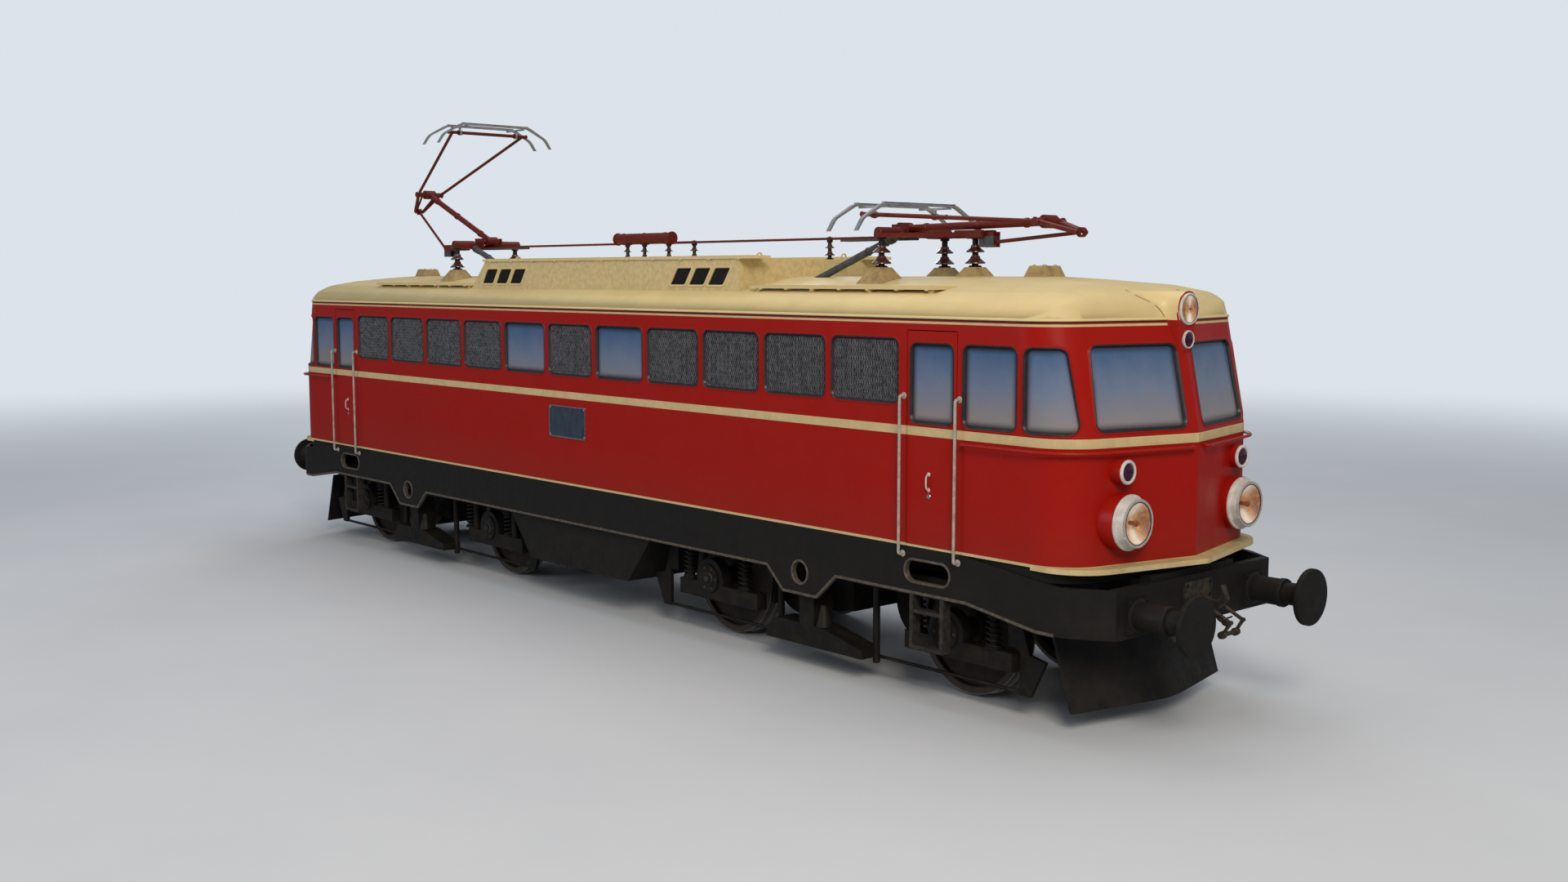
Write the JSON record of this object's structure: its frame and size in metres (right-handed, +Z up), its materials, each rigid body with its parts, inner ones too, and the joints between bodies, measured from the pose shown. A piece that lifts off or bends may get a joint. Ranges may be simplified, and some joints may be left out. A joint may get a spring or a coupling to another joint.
{
  "type": "electric locomotive with a cab at each end",
  "caption": "Red and ivory mainline electric locomotive with folded cab fronts, round headlamps, woven side grilles, swivelling bogies and single-arm pantographs.",
  "frame": {"origin": "below the middle of the locomotive, at the lowest points of the wheel flanges", "axes": "+X towards the front cab, +Y to its left side, +Z up"},
  "size_m": [16.22, 2.938, 5.9278],
  "materials": {
    "red_paint": "deep orange-red gloss paint",
    "cream_paint": "ivory roof paint, satin",
    "black_paint": "near-black underframe paint",
    "dark_steel": "dark dusty running gear",
    "wheel_steel": "rolled steel, polished at the tread",
    "lamp_rim": "bright lamp rims",
    "lamp_glass": "lamp glasses",
    "window_glass": "slightly blue window glass",
    "grille": "dark woven grilles",
    "handrail": "pale grey handrails",
    "board": "cream walkway boards",
    "insulator": "brown glazed porcelain",
    "bus_red": "dark red signal paint",
    "pan_grey": "grey contact strips and horns",
    "cab_grey": "grey-green cab fittings",
    "seat_fabric": "black seat covers"
  },
  "bodies": {
    "carbody": {"cab_front": "red_paint", "cab_rear": "red_paint", "side_wall_right": "red_paint", "side_wall_left": "red_paint", "side_grilles": "grille", "window_glass": "window_glass", "roof_shell": "cream_paint", "underframe": "black_paint", "nose_ledges": "cream_paint", "lamp_hoods": "red_paint", "lamp_housings": "red_paint", "lamp_rims": "lamp_rim", "lamp_lenses": "lamp_glass", "buffer_housings": "black_paint", "buffer_heads": "black_paint", "draw_gear": "dark_steel", "door_handrails": "handrail", "front_rails": "red_paint", "entry_steps": "black_paint", "rail_ploughs": "black_paint", "transformer": "black_paint", "roof_hatch": "cream_paint", "hatch_grilles": "grille", "roof_walkways": "board", "roof_plinths": "cream_paint", "roof_insulators": "insulator", "roof_bus": "bus_red", "pantograph_bases": "bus_red", "cab_bulkheads": "cab_grey", "cab_desks": "cab_grey", "cab_seats": "seat_fabric"},
    "bogie_front": {"bogie_frame_front": "dark_steel", "axle_boxes_front": "dark_steel", "traction_motors_front": "dark_steel", "bogie_rigging_front": "dark_steel"},
    "wheelset_front_inner": {"wheelset_front_inner": "wheel_steel"},
    "wheelset_front_outer": {"wheelset_front_outer": "wheel_steel"},
    "bogie_rear": {"bogie_frame_rear": "dark_steel", "axle_boxes_rear": "dark_steel", "traction_motors_rear": "dark_steel", "bogie_rigging_rear": "dark_steel"},
    "wheelset_rear_inner": {"wheelset_rear_inner": "wheel_steel"},
    "wheelset_rear_outer": {"wheelset_rear_outer": "wheel_steel"},
    "door_front_right": {"door_front_right": "red_paint"},
    "door_front_left": {"door_front_left": "red_paint"},
    "door_rear_right": {"door_rear_right": "red_paint"},
    "door_rear_left": {"door_rear_left": "red_paint"},
    "lower_arm_front": {"lower_arm_front": "bus_red"},
    "upper_arm_front": {"upper_arm_front": "bus_red"},
    "pan_head_front": {"pan_head_front": "pan_grey"},
    "thrust_rod_front": {"thrust_rod_front": "bus_red"},
    "lower_arm_rear": {"lower_arm_rear": "bus_red"},
    "upper_arm_rear": {"upper_arm_rear": "bus_red"},
    "pan_head_rear": {"pan_head_rear": "pan_grey"},
    "thrust_rod_rear": {"thrust_rod_rear": "bus_red"}
  },
  "joints": [
    {"name": "bogie_front_yaw", "type": "hinge", "parent": "carbody", "child": "bogie_front", "pos_m": [3.95, 0, 1.328], "axis": [0, 0, 1], "range_deg": [-2, 2]},
    {"name": "wheelset_front_inner_roll", "type": "hinge", "parent": "bogie_front", "child": "wheelset_front_inner", "pos_m": [2.25, 0, 0.653], "axis": [0, 1, 0], "continuous": true},
    {"name": "wheelset_front_outer_roll", "type": "hinge", "parent": "bogie_front", "child": "wheelset_front_outer", "pos_m": [5.65, 0, 0.653], "axis": [0, 1, 0], "continuous": true},
    {"name": "bogie_rear_yaw", "type": "hinge", "parent": "carbody", "child": "bogie_rear", "pos_m": [-3.95, 0, 1.328], "axis": [0, 0, 1], "range_deg": [-2, 2]},
    {"name": "wheelset_rear_inner_roll", "type": "hinge", "parent": "bogie_rear", "child": "wheelset_rear_inner", "pos_m": [-2.25, 0, 0.653], "axis": [0, 1, 0], "continuous": true},
    {"name": "wheelset_rear_outer_roll", "type": "hinge", "parent": "bogie_rear", "child": "wheelset_rear_outer", "pos_m": [-5.65, 0, 0.653], "axis": [0, 1, 0], "continuous": true},
    {"name": "door_front_right_hinge", "type": "hinge", "parent": "carbody", "child": "door_front_right", "pos_m": [5.385, -1.362, 1.468], "axis": [0, 0, 1], "range_deg": [0, 90]},
    {"name": "door_front_left_hinge", "type": "hinge", "parent": "carbody", "child": "door_front_left", "pos_m": [5.385, 1.362, 1.468], "axis": [0, 0, -1], "range_deg": [0, 90]},
    {"name": "door_rear_right_hinge", "type": "hinge", "parent": "carbody", "child": "door_rear_right", "pos_m": [-5.385, -1.362, 1.468], "axis": [0, 0, -1], "range_deg": [0, 90]},
    {"name": "door_rear_left_hinge", "type": "hinge", "parent": "carbody", "child": "door_rear_left", "pos_m": [-5.385, 1.362, 1.468], "axis": [0, 0, 1], "range_deg": [0, 90]},
    {"name": "pantograph_front_lift", "type": "hinge", "parent": "carbody", "child": "lower_arm_front", "pos_m": [3.985, 0, 4.348], "axis": [0, -1, 0], "range_deg": [0, 33.22]},
    {"name": "pantograph_front_knee", "type": "hinge", "parent": "lower_arm_front", "child": "upper_arm_front", "pos_m": [5.82483, 0, 4.373], "axis": [0, -1, 0], "range_deg": [-65.76, 0.05]},
    {"name": "pantograph_front_head", "type": "hinge", "parent": "upper_arm_front", "child": "pan_head_front", "pos_m": [3.98789, 0, 4.479], "axis": [0, -1, 0], "range_deg": [-0.05, 32.54]},
    {"name": "pantograph_front_rod", "type": "hinge", "parent": "carbody", "child": "thrust_rod_front", "pos_m": [5.15, 0, 4.193], "axis": [0, -1, 0], "range_deg": [-0.05, 49.4]},
    {"name": "pantograph_rear_lift", "type": "hinge", "parent": "carbody", "child": "lower_arm_rear", "pos_m": [-3.985, 0, 4.348], "axis": [0, 1, 0], "range_deg": [-21.75, 11.47]},
    {"name": "pantograph_rear_knee", "type": "hinge", "parent": "lower_arm_rear", "child": "upper_arm_rear", "pos_m": [-5.68458, 0, 5.053], "axis": [0, 1, 0], "range_deg": [-22.74, 43.07]},
    {"name": "pantograph_rear_head", "type": "hinge", "parent": "upper_arm_rear", "child": "pan_head_rear", "pos_m": [-4.01115, 0, 5.818], "axis": [0, 1, 0], "range_deg": [-21.32, 11.27]},
    {"name": "pantograph_rear_rod", "type": "hinge", "parent": "carbody", "child": "thrust_rod_rear", "pos_m": [-5.15, 0, 4.193], "axis": [0, 1, 0], "range_deg": [-32.36, 17.09]}
  ],
  "couplings": [
    {"joint": "pantograph_front_knee", "follows": "pantograph_front_lift", "ratio": -1.978},
    {"joint": "pantograph_front_head", "follows": "pantograph_front_lift", "ratio": 0.978},
    {"joint": "pantograph_front_rod", "follows": "pantograph_front_lift", "ratio": 1.4855},
    {"joint": "pantograph_rear_knee", "follows": "pantograph_rear_lift", "ratio": -1.978},
    {"joint": "pantograph_rear_head", "follows": "pantograph_rear_lift", "ratio": 0.978},
    {"joint": "pantograph_rear_rod", "follows": "pantograph_rear_lift", "ratio": 1.4855}
  ]
}
